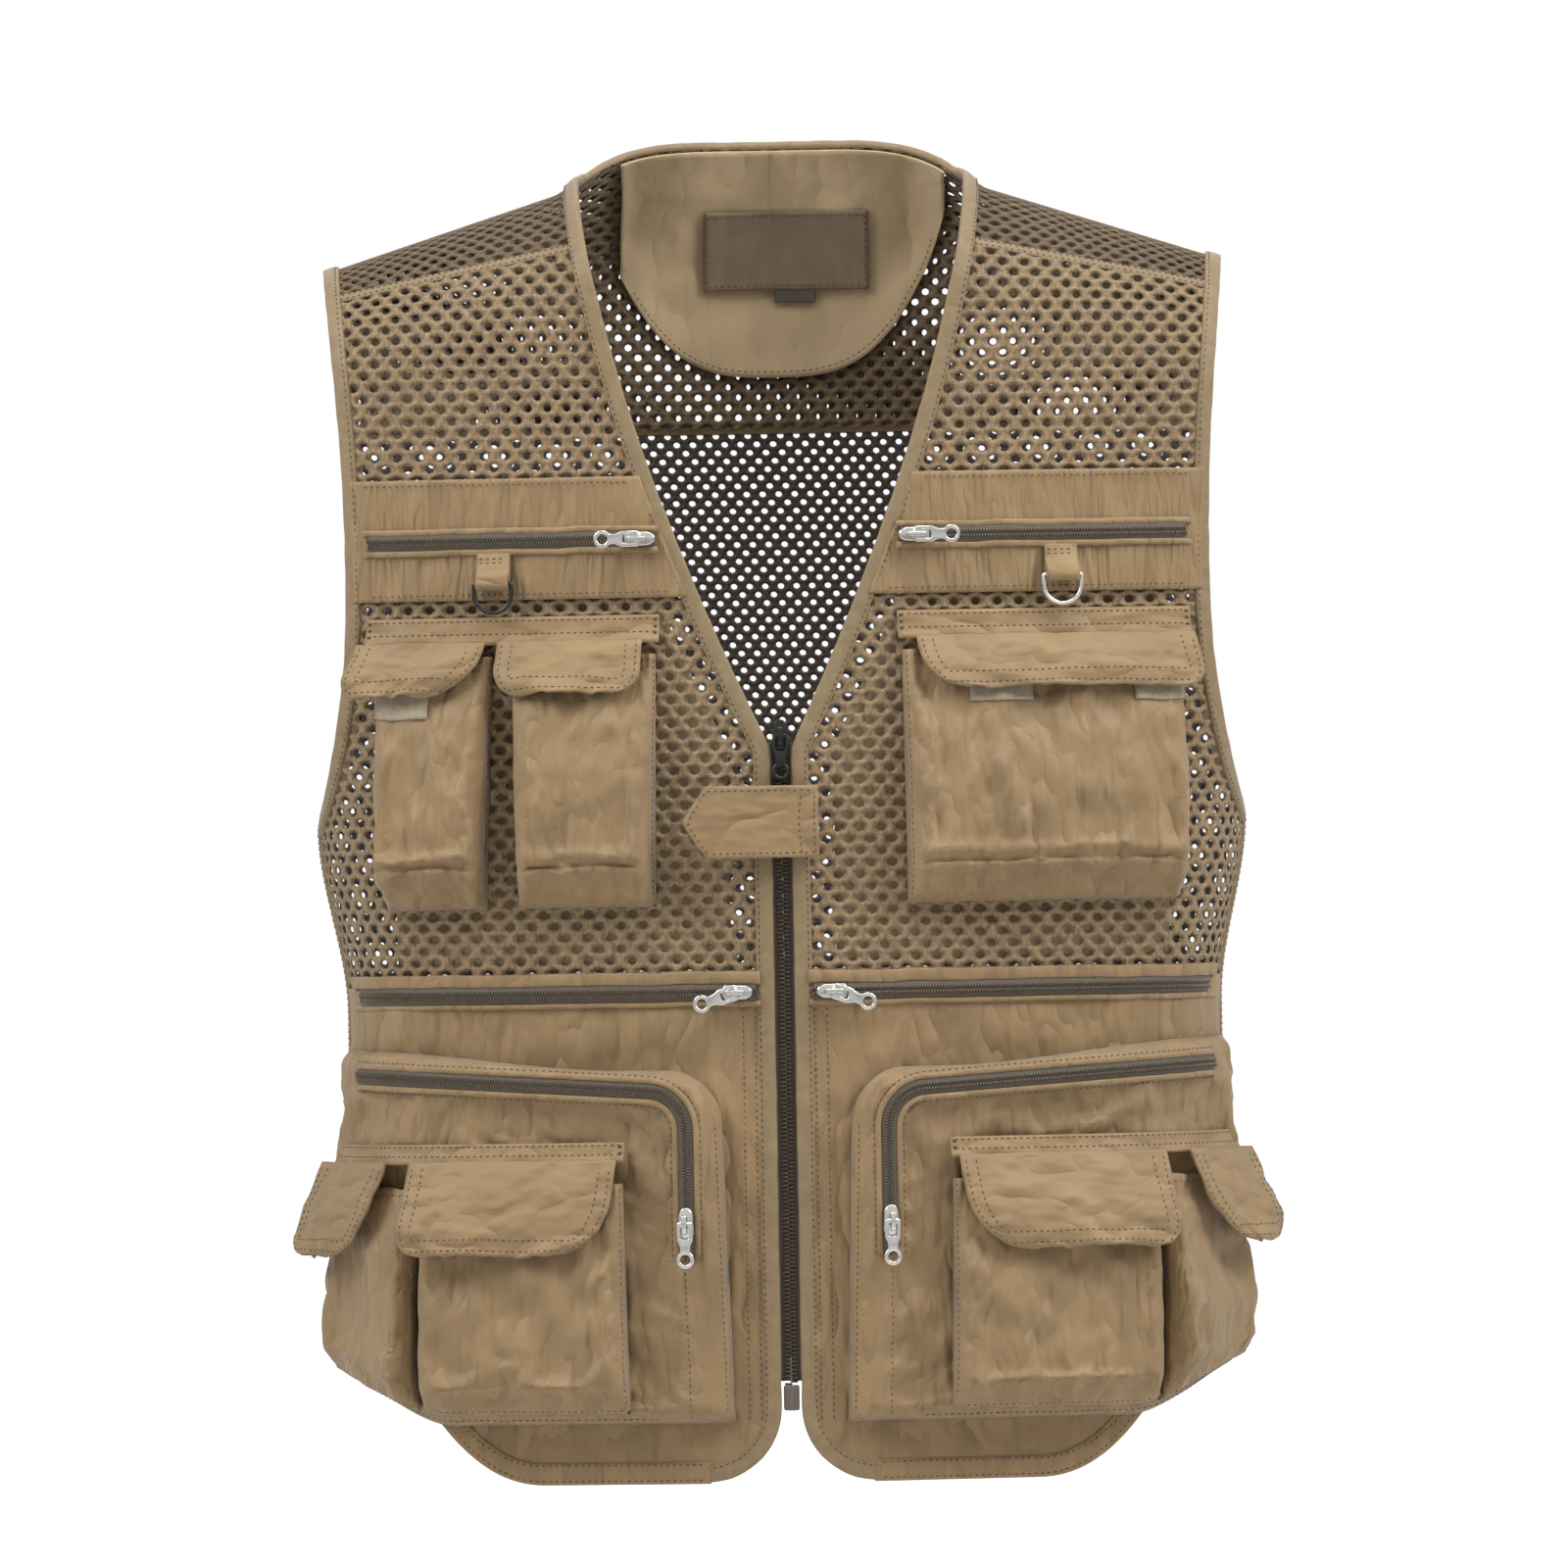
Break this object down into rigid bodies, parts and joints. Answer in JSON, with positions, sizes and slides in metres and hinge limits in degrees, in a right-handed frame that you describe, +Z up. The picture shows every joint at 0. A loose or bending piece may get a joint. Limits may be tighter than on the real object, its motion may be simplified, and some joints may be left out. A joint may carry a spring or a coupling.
{
  "type": "fishing vest",
  "caption": "Sleeveless mesh fishing vest with a zipped V-neck front, flapped chest pockets, zipped cargo pockets, D-rings and a storm tab.",
  "frame": {"origin": "centre of the neck opening, level with the neck end of the shoulders", "axes": "+Z up the body, +X to the wearer's left, -Y out of the front"},
  "size_m": [0.5048, 0.2462, 0.6876],
  "materials": {
    "mesh_cloth": "khaki warp-knit mesh with oval holes",
    "nylon_cloth": "khaki crinkled nylon, slight sheen",
    "binding_cloth": "khaki folded binding, edge stitched",
    "lining_cloth": "khaki lining, matt",
    "zip_tape": "taupe woven zip tape with a nylon coil",
    "zip_box": "grey-brown moulded",
    "bright_metal": "polished nickel plate",
    "dark_metal": "gloss gunmetal"
  },
  "bodies": {
    "vest": {"back_yoke": "mesh_cloth", "back_mesh_panel": "mesh_cloth", "back_lower_panel": "nylon_cloth", "neck_facing": "lining_cloth", "front_mesh_right": "mesh_cloth", "front_lower_right": "nylon_cloth", "pocket_bag_right": "lining_cloth", "chest_band_right": "nylon_cloth", "armhole_binding_right": "binding_cloth", "front_binding_right": "binding_cloth", "chest_zip_tape_right": "zip_tape", "waist_zip_tape_right": "zip_tape", "cargo_zip_tape_right": "zip_tape", "front_zip_tape_right": "zip_tape", "d_ring_loop_right": "nylon_cloth", "cargo_pocket_right": "nylon_cloth", "front_pouch_right": "nylon_cloth", "side_pouch_right": "nylon_cloth", "front_mesh_left": "mesh_cloth", "front_lower_left": "nylon_cloth", "pocket_bag_left": "lining_cloth", "chest_band_left": "nylon_cloth", "armhole_binding_left": "binding_cloth", "front_binding_left": "binding_cloth", "chest_zip_tape_left": "zip_tape", "waist_zip_tape_left": "zip_tape", "cargo_zip_tape_left": "zip_tape", "front_zip_tape_left": "zip_tape", "d_ring_loop_left": "nylon_cloth", "cargo_pocket_left": "nylon_cloth", "front_pouch_left": "nylon_cloth", "side_pouch_left": "nylon_cloth", "front_zip_box": "zip_box", "chest_pouch_outer": "nylon_cloth", "chest_pouch_inner": "nylon_cloth", "chest_pouch_left": "nylon_cloth"},
    "d_ring_right": {"d_ring_right": "dark_metal"},
    "front_pouch_flap_right": {"front_pouch_flap_right": "nylon_cloth"},
    "side_pouch_flap_right": {"side_pouch_flap_right": "nylon_cloth"},
    "chest_zip_right_slider": {"chest_zip_right_slider": "bright_metal"},
    "chest_zip_right_puller": {"chest_zip_right_puller": "bright_metal"},
    "waist_zip_right_slider": {"waist_zip_right_slider": "bright_metal"},
    "waist_zip_right_puller": {"waist_zip_right_puller": "bright_metal"},
    "cargo_zip_right_slider": {"cargo_zip_right_slider": "bright_metal"},
    "cargo_zip_right_puller": {"cargo_zip_right_puller": "bright_metal"},
    "d_ring_left": {"d_ring_left": "bright_metal"},
    "front_pouch_flap_left": {"front_pouch_flap_left": "nylon_cloth"},
    "side_pouch_flap_left": {"side_pouch_flap_left": "nylon_cloth"},
    "chest_zip_left_slider": {"chest_zip_left_slider": "bright_metal"},
    "chest_zip_left_puller": {"chest_zip_left_puller": "bright_metal"},
    "waist_zip_left_slider": {"waist_zip_left_slider": "bright_metal"},
    "waist_zip_left_puller": {"waist_zip_left_puller": "bright_metal"},
    "cargo_zip_left_slider": {"cargo_zip_left_slider": "bright_metal"},
    "cargo_zip_left_puller": {"cargo_zip_left_puller": "bright_metal"},
    "front_zip_slider": {"front_zip_slider": "dark_metal"},
    "front_zip_puller": {"front_zip_puller": "dark_metal"},
    "chest_flap_outer": {"chest_flap_outer": "nylon_cloth"},
    "chest_flap_inner": {"chest_flap_inner": "nylon_cloth"},
    "chest_flap_left": {"chest_flap_left": "nylon_cloth"},
    "storm_tab": {"storm_tab": "nylon_cloth"}
  },
  "joints": [
    {"name": "d_ring_right_swing", "type": "hinge", "parent": "vest", "child": "d_ring_right", "pos_m": [-0.14518, -0.09586, -0.203], "axis": [-0.9794, 0.2019, 0], "range_deg": [0, 75]},
    {"name": "front_pouch_flap_right_lift", "type": "hinge", "parent": "vest", "child": "front_pouch_flap_right", "pos_m": [-0.14007, -0.11238, -0.497], "axis": [-0.9768, 0.214, 0], "range_deg": [0, 115]},
    {"name": "side_pouch_flap_right_lift", "type": "hinge", "parent": "vest", "child": "side_pouch_flap_right", "pos_m": [-0.22158, -0.06103, -0.497], "axis": [-0.5521, 0.8338, 0], "range_deg": [0, 115]},
    {"name": "chest_zip_right_slide", "type": "slide", "parent": "vest", "child": "chest_zip_right_slider", "axis": [-0.9828, 0.1848, 0], "range_m": [0, 0.126]},
    {"name": "chest_zip_right_puller_turn", "type": "hinge", "parent": "chest_zip_right_slider", "child": "chest_zip_right_puller", "pos_m": [-0.07107, -0.11333, -0.1815], "axis": [0, 0, 1], "range_deg": [0, 165]},
    {"name": "waist_zip_right_slide", "type": "slide", "parent": "vest", "child": "waist_zip_right_slider", "axis": [-0.9906, 0.1369, 0], "range_m": [0, 0.15]},
    {"name": "waist_zip_right_puller_turn", "type": "hinge", "parent": "waist_zip_right_slider", "child": "waist_zip_right_puller", "pos_m": [-0.02529, -0.11938, -0.413], "axis": [0, 0, 1], "range_deg": [0, 165]},
    {"name": "cargo_zip_right_slide", "type": "slide", "parent": "vest", "child": "cargo_zip_right_slider", "axis": [0, 0, -1], "range_m": [-0.03, 0]},
    {"name": "cargo_zip_right_puller_turn", "type": "hinge", "parent": "cargo_zip_right_slider", "child": "cargo_zip_right_puller", "pos_m": [-0.05277, -0.13306, -0.53], "axis": [-0.9846, 0.1746, 0], "range_deg": [0, 165]},
    {"name": "d_ring_left_swing", "type": "hinge", "parent": "vest", "child": "d_ring_left", "pos_m": [0.14518, -0.09586, -0.203], "axis": [-0.9794, -0.2019, 0], "range_deg": [0, 75]},
    {"name": "front_pouch_flap_left_lift", "type": "hinge", "parent": "vest", "child": "front_pouch_flap_left", "pos_m": [0.14007, -0.11238, -0.497], "axis": [-0.9768, -0.214, 0], "range_deg": [0, 115]},
    {"name": "side_pouch_flap_left_lift", "type": "hinge", "parent": "vest", "child": "side_pouch_flap_left", "pos_m": [0.22158, -0.06103, -0.497], "axis": [-0.5521, -0.8338, 0], "range_deg": [0, 115]},
    {"name": "chest_zip_left_slide", "type": "slide", "parent": "vest", "child": "chest_zip_left_slider", "axis": [0.9828, 0.1848, 0], "range_m": [0, 0.126]},
    {"name": "chest_zip_left_puller_turn", "type": "hinge", "parent": "chest_zip_left_slider", "child": "chest_zip_left_puller", "pos_m": [0.07107, -0.11333, -0.1815], "axis": [0, 0, -1], "range_deg": [0, 165]},
    {"name": "waist_zip_left_slide", "type": "slide", "parent": "vest", "child": "waist_zip_left_slider", "axis": [0.9906, 0.1369, 0], "range_m": [0, 0.15]},
    {"name": "waist_zip_left_puller_turn", "type": "hinge", "parent": "waist_zip_left_slider", "child": "waist_zip_left_puller", "pos_m": [0.02529, -0.11938, -0.413], "axis": [0, 0, -1], "range_deg": [0, 165]},
    {"name": "cargo_zip_left_slide", "type": "slide", "parent": "vest", "child": "cargo_zip_left_slider", "axis": [0, 0, -1], "range_m": [-0.03, 0]},
    {"name": "cargo_zip_left_puller_turn", "type": "hinge", "parent": "cargo_zip_left_slider", "child": "cargo_zip_left_puller", "pos_m": [0.05277, -0.13306, -0.53], "axis": [-0.9846, -0.1746, 0], "range_deg": [0, 165]},
    {"name": "front_zip_slide", "type": "slide", "parent": "vest", "child": "front_zip_slider", "axis": [0, 0, -1], "range_m": [0, 0.318]},
    {"name": "front_zip_puller_turn", "type": "hinge", "parent": "front_zip_slider", "child": "front_zip_puller", "pos_m": [0, -0.1153, -0.283], "axis": [-1, 0, 0], "range_deg": [0, 165]},
    {"name": "chest_flap_outer_lift", "type": "hinge", "parent": "vest", "child": "chest_flap_outer", "pos_m": [-0.18262, -0.08528, -0.233], "axis": [-0.9665, 0.2568, 0], "range_deg": [0, 115]},
    {"name": "chest_flap_inner_lift", "type": "hinge", "parent": "vest", "child": "chest_flap_inner", "pos_m": [-0.10621, -0.10159, -0.233], "axis": [-0.9815, 0.1915, 0], "range_deg": [0, 115]},
    {"name": "chest_flap_left_lift", "type": "hinge", "parent": "vest", "child": "chest_flap_left", "pos_m": [0.14126, -0.09462, -0.233], "axis": [-0.9798, -0.2001, 0], "range_deg": [0, 115]},
    {"name": "storm_tab_open", "type": "hinge", "parent": "vest", "child": "storm_tab", "pos_m": [0.01707, -0.11618, -0.3265], "axis": [0, 0, 1], "range_deg": [0, 120]}
  ]
}
